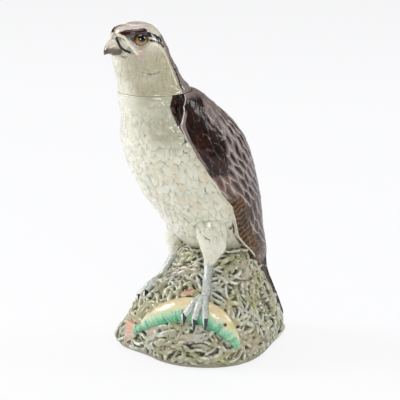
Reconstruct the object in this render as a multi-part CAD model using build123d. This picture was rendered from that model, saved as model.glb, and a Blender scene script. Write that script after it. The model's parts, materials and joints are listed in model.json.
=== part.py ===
from build123d import *

import os

# Ceramic liquor decanter in the form of a fish hawk on its nest, with the head as its stopper.
#
# The bird faces -Y, its left side is +X, and the nest stands on the XY plane. The hollow nest
# and torso hold the liquor, and the bore in the neck is the mouth. The head lifts straight up
# with its cork. Wings, tail, legs and fish are separate clay pieces that are stuck on before
# firing, so each one is cut back to what carries it.

# Nest: the hollow mound of twigs that the bird stands on.
nest_height = 62.0
nest_width = 82.0
nest_front = 39.0
nest_back = 53.5
nest_wall = 5.0
nest_floor = 5.0
twig_diameter = 4.4

# Torso: hollow, leaning forward over the nest.
torso_height = 96.0
torso_width = 64.0
torso_depth = 70.0
torso_lean = 48.0
belly_set_back = 12.0
torso_wall = 5.0

# Mouth, cork and spigot, on one upright axis.
mouth_bore = 20.0
throat_length = 22.0
cork_length = 16.0
cork_clearance = 0.05
cork_seat_gap = 0.5
cork_chamfer = 0.8
spigot_diameter = 13.0
spigot_clearance = 0.05
spigot_overhang = 1.5
spigot_bore = 5.0
seam_gap = 0.2

# Thighs, shanks and toes.
thigh_length = 35.0
thigh_width = 18.0
thigh_depth = 28.0
hock_diameter = 6.4
shank_diameter = 5.4
ankle_diameter = 5.6
toe_diameter = 4.0
toe_tip_diameter = 3.2
talon_length = 6.0
talon_tip_diameter = 0.8

# Wings and tail.
wing_thickness = 3.2
tail_width = 22.0
tail_thickness = 6.0
tail_crown = 2.0

# Head, beak and eyes.
head_height = 39.0
head_width = 29.0
head_length = 32.0
head_reach = 14.0
head_wall = 5.0
beak_length = 13.0
beak_root_reach = 22.0
beak_width = 12.0
beak_depth = 11.0
beak_height = 28.0
eye_diameter = 7.0
eye_height = 31.0
eye_reach = 17.0
eye_spread = 18.0

# Fish that lies over the front of the nest, under the left foot.
fish_depth = 14.0
fish_thickness = 10.0
fish_fin_span = 19.0
fish_fin_thickness = 3.0

overrun = 1.0

seam_z = nest_height + torso_height
head_z = seam_z + seam_gap
mouth_y = belly_set_back - torso_lean
ceiling_z = seam_z - throat_length

# Outline of the nest seen from above, one side at a time from front to back: shares of the
# half width and of the length. The front right corner runs out square near the ground.
nest_round_shares = [(0.62, 0.065), (0.93, 0.22), (1.00, 0.34), (0.83, 0.60), (0.54, 0.81), (0.29, 0.965)]
nest_square_shares = [(0.83, 0.025), (1.00, 0.18), (1.00, 0.36), (0.83, 0.60), (0.54, 0.81), (0.29, 0.965)]

# Nest levels: shares of the height, of the front and back reach and of the left and right
# half width, and how square the front right corner is.
nest_level_shares = [
    (0.00, 0.99, 1.02, 1.00, 0.99, 1.0), (0.08, 1.03, 1.04, 1.04, 1.04, 1.0),
    (0.22, 1.02, 0.99, 1.04, 0.89, 0.8), (0.48, 0.90, 0.85, 0.91, 0.81, 0.3),
    (0.72, 0.55, 0.725, 0.72, 0.46, 0.0), (0.86, 0.37, 0.70, 0.615, 0.44, 0.0),
    (1.00, 0.27, 0.65, 0.51, 0.47, 0.0),
]

# Main twigs that stand out of the nest's side: places along each one, clear of all that is
# stuck on the nest.
nest_twig_shares = [
    [(0.763, -0.079, 0.645), (0.853, 0.119, 0.452), (0.853, 0.377, 0.242), (0.813, 0.496, 0.065)],
    [(0.714, 0.099, 0.694), (0.694, 0.317, 0.565), (0.694, 0.545, 0.355), (0.684, 0.714, 0.129)],
    [(0.55, 0.49, 0.661), (0.54, 0.68, 0.484), (0.50, 0.93, 0.306), (0.48, 1.10, 0.097)],
    [(0.94, 0.26, 0.081), (0.76, 0.46, 0.339), (0.57, 0.56, 0.548), (0.45, 0.65, 0.645)],
    [(0.36, 0.87, 0.581), (0.53, 0.85, 0.323), (0.64, 0.81, 0.081)],
    [(1.011, -0.04, 0.081), (0.922, 0.188, 0.29), (0.724, 0.248, 0.581), (0.585, 0.406, 0.677)],
    [(-0.218, -0.466, 0.726), (0.02, -0.436, 0.79), (0.268, -0.337, 0.855)],
    [(-0.03, -0.61, 0.677), (0.18, -0.54, 0.718), (0.33, -0.55, 0.694)],
    [(-0.21, -0.74, 0.581), (-0.16, -0.63, 0.653), (-0.05, -0.55, 0.71)],
    [(-0.22, -0.36, 0.806), (-0.05, -0.36, 0.855), (0.08, -0.30, 0.952)],
    [(-0.55, -0.24, 0.645), (-0.81, -0.30, 0.452), (-0.86, -0.18, 0.258), (-1.05, -0.38, 0.081)],
    [(-0.84, -0.48, 0.306), (-0.80, -0.78, 0.226), (-0.88, -0.94, 0.081)],
    [(-0.51, -0.09, 0.677), (-0.74, 0.07, 0.516), (-0.75, 0.26, 0.306), (-0.87, 0.38, 0.097)],
    [(-0.46, 0.10, 0.71), (-0.59, 0.24, 0.597), (-0.65, 0.43, 0.387), (-0.66, 0.62, 0.177)],
    [(-1.00, -0.03, 0.097), (-0.78, 0.15, 0.323), (-0.66, 0.33, 0.5), (-0.46, 0.39, 0.645)],
    [(-0.44, 0.44, 0.645), (-0.50, 0.66, 0.452), (-0.46, 0.87, 0.274), (-0.48, 1.10, 0.081)],
    [(-0.82, 0.50, 0.081), (-0.60, 0.58, 0.29), (-0.45, 0.68, 0.516), (-0.31, 0.72, 0.645)],
    [(0.61, -0.03, 0.839), (0.59, 0.09, 0.887), (0.60, 0.24, 0.823)],
    [(0.00, -1.03, 0.113), (0.27, -1.00, 0.21), (0.61, -0.88, 0.194), (0.83, -0.69, 0.081)],
    [(-0.16, -1.01, 0.065), (0.12, -1.01, 0.258), (0.42, -0.94, 0.306)],
    [(0.43, -0.97, 0.065), (0.58, -0.87, 0.274), (0.78, -0.70, 0.306)],
]

# Torso stations from the belly up: shares of the height, of the lean, of the half width and
# of the half depth.
torso_station_shares = [
    (0.00, 0.00, 0.60, 0.63), (0.10, 0.10, 0.70, 0.73), (0.20, 0.19, 0.81, 0.83),
    (0.32, 0.31, 0.92, 0.92), (0.45, 0.43, 0.98, 0.98), (0.58, 0.53, 1.00, 1.00),
    (0.71, 0.635, 0.95, 0.965), (0.82, 0.742, 0.84, 0.85), (0.92, 0.877, 0.72, 0.715),
    (1.00, 1.00, 0.62, 0.60),
]
cavity_stations = 8

# Below the torso the wing goes on over these stations, and each of its stations has a share
# of the wing's thickness.
wing_tip_shares = [(-0.185, -0.19, 0.40, 0.583), (-0.10, -0.10, 0.47, 0.645)]
wing_thickness_shares = [0.9, 1.3, 1.8, 1.4, 1.1, 1, 1, 1, 1, 0.9, 0.8, 0.3]

# Front edge of a folded wing seen from the side, from the shoulder to the tip: shares of the
# torso's depth behind the belly and of its height.
wing_edge_shares = [
    (-0.66, 1.02), (-0.72, 0.94), (-0.71, 0.84), (-0.67, 0.745), (-0.60, 0.635), (-0.51, 0.536),
    (-0.38, 0.404), (-0.26, 0.308), (-0.19, 0.208), (-0.12, 0.10), (-0.02, 0.02), (0.12, -0.08),
    (0.25, -0.165), (0.34, -0.21),
]

# Tail stations: shares of the nest's height and back reach at the edge of the tail, and of
# the tail's width.
tail_station_shares = [
    (1.00, 0.673, 0.90), (0.775, 0.735, 0.93), (0.615, 0.778, 0.96), (0.445, 0.864, 1.00),
    (0.28, 0.948, 1.00), (0.195, 0.985, 0.98), (0.12, 1.00, 0.90),
]

# Places on the nest, as shares of its half width, front reach and height. Keys are sides, 1
# for the bird's left and -1 for its right.
hock_shares = {1: (0.52, -0.36, 0.925), -1: (-0.43, -0.22, 0.85)}
ankle_shares = {1: (0.64, -0.526, 0.653), -1: (-0.47, -0.39, 0.671)}

# Thigh stations from the hock up: shares of the length upwards, backwards and inwards, and of
# the thigh's width and depth.
thigh_station_shares = [
    (0.00, 0.00, 0.00, 0.34, 0.24), (0.06, 0.04, 0.00, 0.40, 0.29), (0.19, 0.09, 0.01, 0.64, 0.49),
    (0.40, 0.10, 0.04, 0.80, 0.64), (0.65, 0.17, 0.12, 0.92, 0.80), (1.00, 0.24, 0.38, 0.74, 0.66),
]

# Toes from the ankle to the root of the talon. The left ones grip the fish.
toe_route_shares = {
    1: [
        [(0.65, -0.654, 0.650), (0.656, -0.764, 0.623), (0.65, -0.844, 0.568), (0.59, -0.905, 0.50)],
        [(0.683, -0.641, 0.648), (0.737, -0.744, 0.613), (0.741, -0.795, 0.537), (0.712, -0.821, 0.465)],
        [(0.732, -0.615, 0.639), (0.795, -0.68, 0.602), (0.839, -0.713, 0.539), (0.849, -0.726, 0.473)],
    ],
    -1: [
        [(-0.585, -0.577, 0.575), (-0.646, -0.744, 0.46)],
        [(-0.512, -0.628, 0.590), (-0.537, -0.808, 0.484)],
        [(-0.402, -0.641, 0.620), (-0.378, -0.808, 0.547)],
    ],
}

# Head stations: shares of the height, of the reach, of the half width and of the half length.
head_station_shares = [
    (0.13, 0.19, 1.24, 1.19), (0.26, 0.37, 1.17, 1.14), (0.385, 0.53, 1.12, 1.10),
    (0.51, 0.66, 1.07, 1.05), (0.64, 0.76, 1.00, 1.00), (0.77, 0.86, 0.91, 0.92),
    (0.90, 0.96, 0.76, 0.79), (0.965, 0.95, 0.56, 0.60), (1.00, 0.93, 0.32, 0.36),
]
head_cavity_stations = 6

# Beak stations: shares of the length forwards, of the depth downwards, of the width and of
# the depth.
beak_station_shares = [
    (0.00, 0.00, 1.00, 1.06), (0.40, 0.00, 0.80, 0.88), (0.68, 0.05, 0.56, 0.66),
    (0.88, 0.16, 0.34, 0.42), (1.00, 0.34, 0.10, 0.15),
]

# Fish from tail to nose: places on the nest, and shares of the body's depth and thickness.
fish_route_shares = [
    (-0.36, -1.02, 0.23), (-0.12, -1.00, 0.33), (0.13, -0.95, 0.44), (0.33, -0.87, 0.50),
    (0.49, -0.78, 0.53), (0.65, -0.68, 0.53), (0.80, -0.57, 0.485), (0.90, -0.48, 0.425),
    (0.98, -0.40, 0.345), (1.03, -0.32, 0.25), (1.05, -0.29, 0.18),
]
fish_size_shares = [0.26, 0.56, 0.84, 0.96, 1.00, 1.00, 1.00, 0.92, 0.72, 0.46, 0.24]

# Tail fin of the fish, seen from the front: shares of the span away from the body and down.
fish_fin_shares = [(-0.12, -0.10), (0.22, -0.40), (0.42, -0.02), (0.85, 0.23), (0.30, 0.22), (-0.12, 0.10)]


def on_nest(share):
    """Point at a share of the nest's half width, front reach and height."""
    x, y, z = share
    return Vector(x * nest_width / 2, y * nest_front, z * nest_height)


def nest_section(level, inset, floor):
    """Closed outline of the nest at one level, drawn in by inset."""
    height, front, back, left, right, square = level
    near, far = inset - front * nest_front, back * nest_back - inset
    left_side, right_side = [], []
    for round_point, square_point in zip(nest_round_shares, nest_square_shares):
        x, y = round_point
        left_side.append((x * (left * nest_width / 2 - inset), near + y * (far - near)))
        x, y = (a + square * (b - a) for a, b in zip(round_point, square_point))
        right_side.insert(0, (-x * (right * nest_width / 2 - inset), near + y * (far - near)))
    edge = Spline([(0, near)] + left_side + [(0, far)] + right_side, periodic=True)
    return Plane.XY.offset(floor + height * (nest_height - floor)) * make_face(edge)


def nest_blank(inset=0.0, floor=0.0):
    """Solid nest, or the shape of its hollow when drawn in by a wall."""
    return loft([nest_section(level, inset, floor) for level in nest_level_shares])


def twig(route):
    """Crooked round twig, sunk to half its thickness in the side of the nest."""
    points = [on_nest(share) for share in route]
    shape = Location(points[0]) * Sphere(twig_diameter / 2)
    for start, end in zip(points, points[1:]):
        run = end - start
        rod = Cylinder(twig_diameter / 2, run.length, align=(Align.CENTER, Align.CENTER, Align.MIN))
        shape += Plane(origin=start, z_dir=run) * rod + Location(end) * Sphere(twig_diameter / 2)
    return shape


def torso_section(station, grown=0.0):
    """Oval face of the torso at one station, grown by a thickness."""
    height, lean, width, depth = station
    centre = (0, belly_set_back - lean * torso_lean, nest_height + height * torso_height)
    return Location(centre) * Ellipse(width * torso_width / 2 + grown, depth * torso_depth / 2 + grown)


def torso_blank():
    """Solid torso without its thighs."""
    return loft([torso_section(station) for station in torso_station_shares])


def torso_cavity():
    """Hollow of the torso, open to the nest below and closed by a ceiling under the neck."""
    hollow = loft([torso_section(s, -torso_wall) for s in torso_station_shares[:cavity_stations]])
    above = Location((0, mouth_y, ceiling_z)) * Box(
        torso_width, torso_depth * 2, throat_length, align=(Align.CENTER, Align.CENTER, Align.MIN))
    return hollow - above


def upright_rod(diameter, top, length):
    """Upright cylinder on the axis of the mouth, reaching down from top."""
    rod = Cylinder(diameter / 2, length, align=(Align.CENTER, Align.CENTER, Align.MAX))
    return Location((0, mouth_y, top)) * rod


def thigh(side):
    """Feathered thigh that tapers down to the hock."""
    hock = on_nest(hock_shares[side])
    sections = []
    for up, back, inward, width, depth in thigh_station_shares:
        centre = hock + Vector(-side * inward, back, up) * thigh_length
        oval = Ellipse(width * thigh_width / 2, depth * thigh_depth / 2)
        sections.append(Location(centre) * oval)
    return loft(sections)


def tapered_run(start, end, first, last):
    """Straight round rod from start to end, tapering from the first diameter to the last."""
    run = end - start
    return loft([
        Plane(origin=start, z_dir=run) * Circle(first / 2),
        Plane(origin=end, z_dir=run) * Circle(last / 2),
    ])


def toe(ankle, route):
    """One toe with its talon, from the ankle over the points of its route."""
    points = [ankle] + [on_nest(share) for share in route]
    diameters = [toe_diameter] * len(route) + [toe_tip_diameter]
    claw = points[-1] - Vector(0, 0, talon_length)
    shape = tapered_run(points[-1], claw, toe_tip_diameter, talon_tip_diameter)
    for start, end, first, last in zip(points, points[1:], diameters, diameters[1:]):
        shape += tapered_run(start, end, first, last)
        shape += Location(end) * Sphere(last / 2)
    return shape


def leg_blank(side):
    """Shank with its hock and ankle, and the three front toes."""
    hock, ankle = on_nest(hock_shares[side]), on_nest(ankle_shares[side])
    blank = (
        Location(hock) * Sphere(hock_diameter / 2)
        + tapered_run(hock, ankle, shank_diameter, shank_diameter)
        + Location(ankle) * Sphere(ankle_diameter / 2)
    )
    for route in toe_route_shares[side]:
        blank += toe(ankle, route)
    return blank


def wing_blank():
    """Both wings as one body over the torso, hollow below it, before they are cut out."""
    stations = wing_tip_shares + torso_station_shares
    outer = loft([
        torso_section(station, share * wing_thickness)
        for station, share in zip(stations, wing_thickness_shares)
    ])
    return outer - loft([torso_section(s) for s in wing_tip_shares + torso_station_shares[:1]])


def wing_outline(side):
    """Everything behind the front edge of a wing, on one side of the bird."""
    edge = [
        (belly_set_back + y * torso_depth, nest_height + z * torso_height)
        for y, z in wing_edge_shares
    ]
    behind = nest_back + torso_depth
    rest = Polyline(edge[-1], (behind, edge[-1][1]), (behind, edge[0][1]), edge[0])
    face = Plane.YZ * make_face([Spline(edge), rest])
    return extrude(face, amount=side * torso_width)


def tail_blank():
    """Tail feathers that lie down the back of the nest, a little crowned across."""
    sections = []
    for height, back, width in tail_station_shares:
        side, edge_y = width * tail_width / 2, back * nest_back
        inner_y = edge_y - tail_thickness
        outer = ThreePointArc((-side, edge_y), (0, edge_y + tail_crown), (side, edge_y))
        rest = Polyline((side, edge_y), (side, inner_y), (-side, inner_y), (-side, edge_y))
        sections.append(Plane.XY.offset(height * nest_height) * make_face([outer, rest]))
    return loft(sections)


def fish_blank():
    """Fish body with its tail fin, bent over the front of the nest."""
    points = [on_nest(share) for share in fish_route_shares]
    path = Spline(points)
    nest_core = Vector(0, (nest_back - nest_front) / 2, nest_height / 4)
    sections = []
    for point, share in zip(points, fish_size_shares):
        frame = Plane(origin=point, x_dir=point - nest_core, z_dir=path % path.param_at_point(point))
        sections.append(frame * Ellipse(share * fish_thickness / 2, share * fish_depth / 2))
    root = points[0]
    away = root - points[1]
    fin_plane = Plane(origin=root, x_dir=(away.X, 0, away.Z), z_dir=(0, -1, 0))
    outline = Polyline([(x * fish_fin_span, y * fish_fin_span) for x, y in fish_fin_shares], close=True)
    fin = extrude(fin_plane * make_face(outline), fish_fin_thickness / 2, both=True)
    return loft(sections) + fin


def head_sections(stations, wall=0.0):
    """Oval faces of the head at some of its stations, drawn in by a wall."""
    sections = []
    for height, reach, width, length in stations:
        centre = (0, mouth_y - reach * head_reach, seam_z + height * head_height)
        oval = Ellipse(width * head_width / 2 - wall, length * head_length / 2 - wall)
        sections.append(Location(centre) * oval)
    return sections


def beak():
    """Hooked beak on the front of the head."""
    sections = []
    for along, drop, width, depth in beak_station_shares:
        centre = (0, mouth_y - beak_root_reach - along * beak_length,
                  seam_z + beak_height - drop * beak_depth)
        frame = Plane(origin=centre, x_dir=(1, 0, 0), z_dir=(0, -1, 0))
        sections.append(frame * Ellipse(width * beak_width / 2, depth * beak_depth / 2))
    return loft(sections)


def head_casting():
    """Hollow head with its beak, eyes and the spigot that carries the cork."""
    neck = Location((0, 0, seam_gap)) * torso_section(torso_station_shares[-1])
    casting = loft([neck] + head_sections(head_station_shares)) + beak()
    for side in (1, -1):
        eye = (side * eye_spread / 2, mouth_y - eye_reach, seam_z + eye_height)
        casting += Location(eye) * Sphere(eye_diameter / 2)
    spigot_length = cork_seat_gap + cork_length + spigot_overhang
    hollow = loft(head_sections(head_station_shares[:head_cavity_stations], head_wall))
    drain = upright_rod(spigot_bore, seam_z + head_height / 2, head_height / 2 + spigot_length)
    return casting + upright_rod(spigot_diameter, head_z, spigot_length) - hollow - drain


def cork_sleeve():
    """Cork that sits in the mouth and round the spigot."""
    top = head_z - cork_seat_gap
    cork = upright_rod(mouth_bore - 2 * cork_clearance, top, cork_length)
    cork = chamfer(cork.edges().group_by(Axis.Z)[0], cork_chamfer)
    hole = spigot_diameter + 2 * spigot_clearance
    return cork - upright_rod(hole, top + overrun, cork_length + 2 * overrun)


def main():
    os.makedirs("parts", exist_ok=True)
    nest_solid, torso_solid = nest_blank(), torso_blank() + thigh(1) + thigh(-1)
    tail_solid, fish_solid, wings_solid = tail_blank(), fish_blank(), wing_blank()
    twiggy_nest = nest_solid
    for route in nest_twig_shares:
        twiggy_nest += twig(route)

    parts = {
        "nest_mound": twiggy_nest - nest_blank(nest_wall, nest_floor),
        "torso": torso_solid - nest_solid - torso_cavity()
        - upright_rod(mouth_bore, seam_z, throat_length + overrun),
        "tail": tail_solid - nest_solid - torso_solid,
        "fish": fish_solid - nest_solid,
        "head": head_casting(),
        "cork_sleeve": cork_sleeve(),
    }
    for side, name in ((1, "left"), (-1, "right")):
        wing = wings_solid & wing_outline(side)
        parts[f"{name}_wing"] = wing - torso_solid - nest_solid - tail_solid
        parts[f"{name}_leg"] = leg_blank(side) - torso_solid - nest_solid - fish_solid

    for name, part in parts.items():
        print(name, len(part.solids()), "solids,", round(part.volume), "mm3")
        export_step(part, f"parts/{name}.step")


main()
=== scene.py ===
import json
import logging
import math
from dataclasses import dataclass
from enum import Enum

import bpy
import numpy as np
from mathutils.kdtree import KDTree
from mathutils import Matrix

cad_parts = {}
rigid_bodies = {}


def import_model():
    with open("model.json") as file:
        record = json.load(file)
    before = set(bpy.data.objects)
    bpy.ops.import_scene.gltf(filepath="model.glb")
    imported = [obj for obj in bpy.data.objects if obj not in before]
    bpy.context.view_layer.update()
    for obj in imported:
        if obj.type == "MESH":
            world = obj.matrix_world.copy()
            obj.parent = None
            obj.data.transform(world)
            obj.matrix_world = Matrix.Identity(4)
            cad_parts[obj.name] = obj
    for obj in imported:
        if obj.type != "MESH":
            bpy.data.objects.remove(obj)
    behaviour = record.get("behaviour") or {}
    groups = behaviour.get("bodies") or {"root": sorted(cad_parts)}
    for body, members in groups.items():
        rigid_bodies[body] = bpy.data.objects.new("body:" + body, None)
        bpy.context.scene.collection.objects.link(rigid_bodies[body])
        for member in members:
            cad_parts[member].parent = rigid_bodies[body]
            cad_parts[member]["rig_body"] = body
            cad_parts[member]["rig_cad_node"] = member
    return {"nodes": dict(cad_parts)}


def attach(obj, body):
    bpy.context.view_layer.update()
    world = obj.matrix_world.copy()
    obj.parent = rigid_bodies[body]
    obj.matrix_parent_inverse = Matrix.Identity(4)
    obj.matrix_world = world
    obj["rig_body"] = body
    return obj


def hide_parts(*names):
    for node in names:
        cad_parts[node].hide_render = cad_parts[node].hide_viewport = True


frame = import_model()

# Glazed earthenware liquor decanter in the form of a fish hawk on its nest. Sizes in the classes
# are in millimetres, and meshes are in metres. The bird faces -Y and its left side is +X.

Array = np.ndarray
Point = tuple[float, float, float]

MM = 0.001
TURN = 2 * math.pi

# Words that mix whole numbers into random shares.
WORD = 0xFFFFFFFF
CAST_WORD = 1274126177
KEY_WORD = 668265263

# Share of a mask under which nothing is brushed on.
UNTOUCHED = 0.02

# Gaps in millimetres under which two places of a line, or two corners of a solid's mesh, are one.
SAME_PLACE = 0.1
SAME_CORNER = 0.001

log = logging.getLogger("decanter")


class Body(Enum):
    """Rigid bodies that pieces ride on."""

    DECANTER = "decanter"
    CORK = "cork"
    HEAD = "head"


class Side(Enum):
    """Sides of the bird, with the sign of X."""

    LEFT = 1
    RIGHT = -1


def linear(colour: str) -> tuple[float, float, float, float]:
    """Turns an sRGB hex colour into a linear one.

    Args:
        colour: Six hex digits after a hash sign.

    Returns:
        Red, green, blue and alpha.
    """
    shares = [int(colour[i:i + 2], 16) / 255 for i in (1, 3, 5)]
    toned = [s / 12.92 if s <= 0.04045 else ((s + 0.055) / 1.055) ** 2.4 for s in shares]
    return (toned[0], toned[1], toned[2], 1.0)


def rise(low: float, high: float, value: Array) -> Array:
    """Smooth step of a value.

    Args:
        low: Value at which the step starts.
        high: Value at which it ends. It may be below low, and the step then falls.
        value: Values to step.

    Returns:
        Shares from 0 to 1.
    """
    share = np.clip((value - low) / (high - low), 0, 1)
    return share * share * (3 - 2 * share)


def scatter(*keys: Array, seed: int) -> Array:
    """Random shares that depend only on whole-number keys.

    Args:
        keys: Arrays of whole numbers of one shape.
        seed: Number that picks one of many patterns.

    Returns:
        Shares from 0 to 1.
    """
    mixed = np.full(np.shape(keys[0]), (seed * CAST_WORD) & WORD, np.int64)
    for key in keys:
        mixed = ((mixed ^ (np.asarray(key, np.int64) & WORD)) * KEY_WORD) & WORD
        mixed ^= mixed >> 15
    mixed = (mixed * CAST_WORD) & WORD
    mixed ^= mixed >> 13
    return mixed / WORD


def ripple(points: Array, size: float, seed: int) -> Array:
    """Smooth noise in space.

    Args:
        points: Points, one a row, in millimetres.
        size: Width of its lumps in millimetres.
        seed: Number that picks one of many patterns.

    Returns:
        Values from -1 to 1.
    """
    cell = points / size
    base = np.floor(cell).astype(np.int64)
    part = cell - base
    part = part * part * (3 - 2 * part)
    total = np.zeros(len(points))
    for corner in np.ndindex(2, 2, 2):
        weight = np.where(np.array(corner, bool), part, 1 - part).prod(axis=1)
        key = base + np.array(corner)
        total += weight * scatter(key[:, 0], key[:, 1], key[:, 2], seed=seed)
    return total * 2 - 1


def stroke(points: Array, path: list[Point]) -> tuple[Array, Array]:
    """Measures points against a line of straight runs.

    Args:
        points: Points, one a row, in millimetres.
        path: Corners of the line.

    Returns:
        The distance from the line, and the share of its length at the nearest place.
    """
    corners = np.array(path, float)
    runs = np.diff(corners, axis=0)
    lengths = np.linalg.norm(runs, axis=1)
    starts = np.concatenate([[0], np.cumsum(lengths)])
    best, place = np.full(len(points), np.inf), np.zeros(len(points))
    for corner, run, length, start in zip(corners, runs, lengths, starts):
        share = np.clip((points - corner) @ run / length ** 2, 0, 1)
        gap = np.linalg.norm(points - corner - share[:, None] * run, axis=1)
        nearer = gap < best
        best[nearer] = gap[nearer]
        place[nearer] = ((start + share * length) / starts[-1])[nearer]
    return best, place


def run_lengths(path: Array) -> Array:
    """Distances of a line's corners from its start, along its straight runs."""
    return np.concatenate([[0], np.cumsum(np.linalg.norm(np.diff(path, axis=0), axis=1))])


def places_on(path: Array, distances: Array) -> Array:
    """Finds the places on a line of straight runs.

    Args:
        path: Corners of the line, one a row.
        distances: Distances from its start.

    Returns:
        The places, one a row.
    """
    lengths = run_lengths(path)
    return np.stack([np.interp(distances, lengths, path[:, i]) for i in range(3)], axis=1)


def on_skin(points: Array, path: tuple[Point, ...], step: float = 1.5) -> list[Point]:
    """Moves a line to the skin of a piece.

    Args:
        points: Points of the skin in millimetres.
        path: Corners of the line.
        step: Distance between the places that are moved.

    Returns:
        The nearest points of the skin, from one end of the line to the other.
    """
    corners = np.array(path, float)
    whole = run_lengths(corners)[-1]
    places = places_on(corners, np.linspace(0, whole, max(2, round(whole / step) + 1)))
    nearest = [points[np.argmin(((points - place) ** 2).sum(axis=1))] for place in places]
    steps = [nearest[0]] + [b for a, b in zip(nearest, nearest[1:]) if np.linalg.norm(b - a) > SAME_PLACE]
    return [tuple(place) for place in steps]


def add_node(tree: bpy.types.NodeTree, kind: str, wires: dict | None = None,
             **settings) -> bpy.types.Node:
    """Adds one shader node.

    Args:
        tree: Node tree of the material.
        kind: Type name of the node.
        wires: Values or output sockets by the name or number of an input.
        settings: Properties of the node.

    Returns:
        The node.
    """
    node = tree.nodes.new(kind)
    for name, value in settings.items():
        setattr(node, name, value)
    for name, value in (wires or {}).items():
        if isinstance(value, bpy.types.NodeSocket):
            tree.links.new(value, node.inputs[name])
        else:
            node.inputs[name].default_value = value
    return node


def empty_tree(block: bpy.types.Material | bpy.types.World) -> bpy.types.NodeTree:
    """Switches a material or a world to nodes and clears them.

    Args:
        block: Material or world.

    Returns:
        Its empty node tree.
    """
    block.use_nodes = True
    block.node_tree.nodes.clear()
    return block.node_tree


def blended(tree: bpy.types.NodeTree, share: bpy.types.NodeSocket,
            under: bpy.types.NodeSocket | tuple, over: tuple) -> bpy.types.NodeSocket:
    """Blends one colour over another.

    Args:
        tree: Node tree of the material.
        share: How much of the upper colour shows.
        under: Lower colour.
        over: Upper colour.

    Returns:
        The blended colour.
    """
    return add_node(tree, "ShaderNodeMix", {
        "Factor": share, "A": under, "B": over,
    }, data_type="RGBA").outputs["Result"]


@dataclass(frozen=True)
class Wash:
    """Thin coat of colour that is brushed on where a mask of the piece says: a stain, or painted shade or a
    painted highlight.

    A lower value of crisp makes its edge sharper. The mottle breaks the edge up by noise with
    lumps of the size of the grain, in millimetres, so that it looks brushed by hand.
    """

    mask: str
    colour: str
    crisp: float = 0.5
    mottle: float = 0.15
    grain: float = 1.6


@dataclass(frozen=True)
class Glaze:
    """Slip-cast white earthenware, brushed with stains and with painted shade and highlights, and dipped in a
    clear glaze, then fired.

    The washes lie under the coat, so they look as if seen through glass. The coat is wavy where
    the glaze ran, which breaks the lamps' glints, and the fine tooth is the grain of the clay.
    Sizes and depths are in millimetres.
    """

    name: str
    clay: str
    washes: tuple[Wash, ...] = ()
    roughness: float = 0.2
    shine: float = 0.5
    coat: float = 0.6
    coat_roughness: float = 0.05
    wave_size: float = 3.0
    wave_depth: float = 0.05
    tooth_size: float = 0.5
    tooth_depth: float = 0.012
    cloud: float = 0.06
    cloud_size: float = 5.0
    cloud_colour: str = "#898170"

    def material(self) -> bpy.types.Material:
        """Builds the material from its washes, or finds the one that is there.

        Returns:
            The material.
        """
        made = bpy.data.materials.get(self.name)
        if made:
            return made
        made = bpy.data.materials.new(self.name)
        tree = empty_tree(made)
        place = add_node(tree, "ShaderNodeTexCoord").outputs["Object"]
        cloud = self.noise(tree, place, self.cloud_size, 3.0)
        clouded = add_node(tree, "ShaderNodeMapRange", {
            "Value": cloud, "From Min": 0.35, "From Max": 0.65, "To Min": 0.0, "To Max": self.cloud,
        }).outputs["Result"]
        colour = blended(tree, clouded, linear(self.clay), linear(self.cloud_colour))
        for wash in self.washes:
            colour = self.brushed(tree, place, colour, wash)
        wave = add_node(tree, "ShaderNodeBump", {
            "Height": self.noise(tree, place, self.wave_size, 1.0),
            "Strength": 1.0, "Distance": self.wave_depth * MM,
        }).outputs["Normal"]
        tooth = add_node(tree, "ShaderNodeBump", {
            "Height": self.noise(tree, place, self.tooth_size, 2.0),
            "Strength": 1.0, "Distance": self.tooth_depth * MM, "Normal": wave,
        }).outputs["Normal"]
        rough = add_node(tree, "ShaderNodeMapRange", {
            "Value": cloud, "From Min": 0.3, "From Max": 0.7,
            "To Min": self.roughness * 0.75, "To Max": self.roughness * 1.35,
        }).outputs["Result"]
        shader = add_node(tree, "ShaderNodeBsdfPrincipled", {
            "Base Color": colour, "Roughness": rough, "IOR": 1.5, "Specular IOR Level": self.shine,
            "Normal": tooth, "Coat Weight": self.coat, "Coat Roughness": self.coat_roughness,
            "Coat Normal": wave,
        })
        add_node(tree, "ShaderNodeOutputMaterial", {"Surface": shader.outputs["BSDF"]})
        return made

    def noise(self, tree: bpy.types.NodeTree, place: bpy.types.NodeSocket, size: float,
              detail: float) -> bpy.types.NodeSocket:
        """Adds a noise.

        Args:
            tree: Node tree of the material.
            place: Place on the piece.
            size: Width of its lumps in millimetres.
            detail: Steps of finer lumps in it.

        Returns:
            Its value from 0 to 1.
        """
        return add_node(tree, "ShaderNodeTexNoise", {
            "Vector": place, "Scale": 1 / (size * MM), "Detail": detail, "Roughness": 0.55,
        }).outputs["Fac"]

    def brushed(self, tree: bpy.types.NodeTree, place: bpy.types.NodeSocket,
                under: bpy.types.NodeSocket, wash: Wash) -> bpy.types.NodeSocket:
        """Lays one wash over the colour below it.

        Args:
            tree: Node tree of the material.
            place: Place on the piece.
            under: Colour below the wash.
            wash: What is brushed on.

        Returns:
            The colour with the wash.
        """
        mask = add_node(tree, "ShaderNodeAttribute", attribute_name=wash.mask).outputs["Fac"]
        grain = add_node(tree, "ShaderNodeMapRange", {
            "Value": self.noise(tree, place, wash.grain, 3.0), "From Min": 0.25, "From Max": 0.75,
            "To Min": -wash.mottle, "To Max": wash.mottle,
        }).outputs["Result"]
        thick = add_node(tree, "ShaderNodeMath", {0: mask, 1: grain}, operation="ADD").outputs["Value"]
        shown = add_node(tree, "ShaderNodeMapRange", {
            "Value": thick, "From Min": 0.5 - wash.crisp, "From Max": 0.5 + wash.crisp,
        }, interpolation_type="SMOOTHSTEP").outputs["Result"]
        touched = add_node(tree, "ShaderNodeMath", {
            0: mask, 1: UNTOUCHED,
        }, operation="GREATER_THAN").outputs["Value"]
        kept = add_node(tree, "ShaderNodeMath", {0: shown, 1: touched}, operation="MULTIPLY").outputs["Value"]
        return blended(tree, kept, under, linear(wash.colour))


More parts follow.
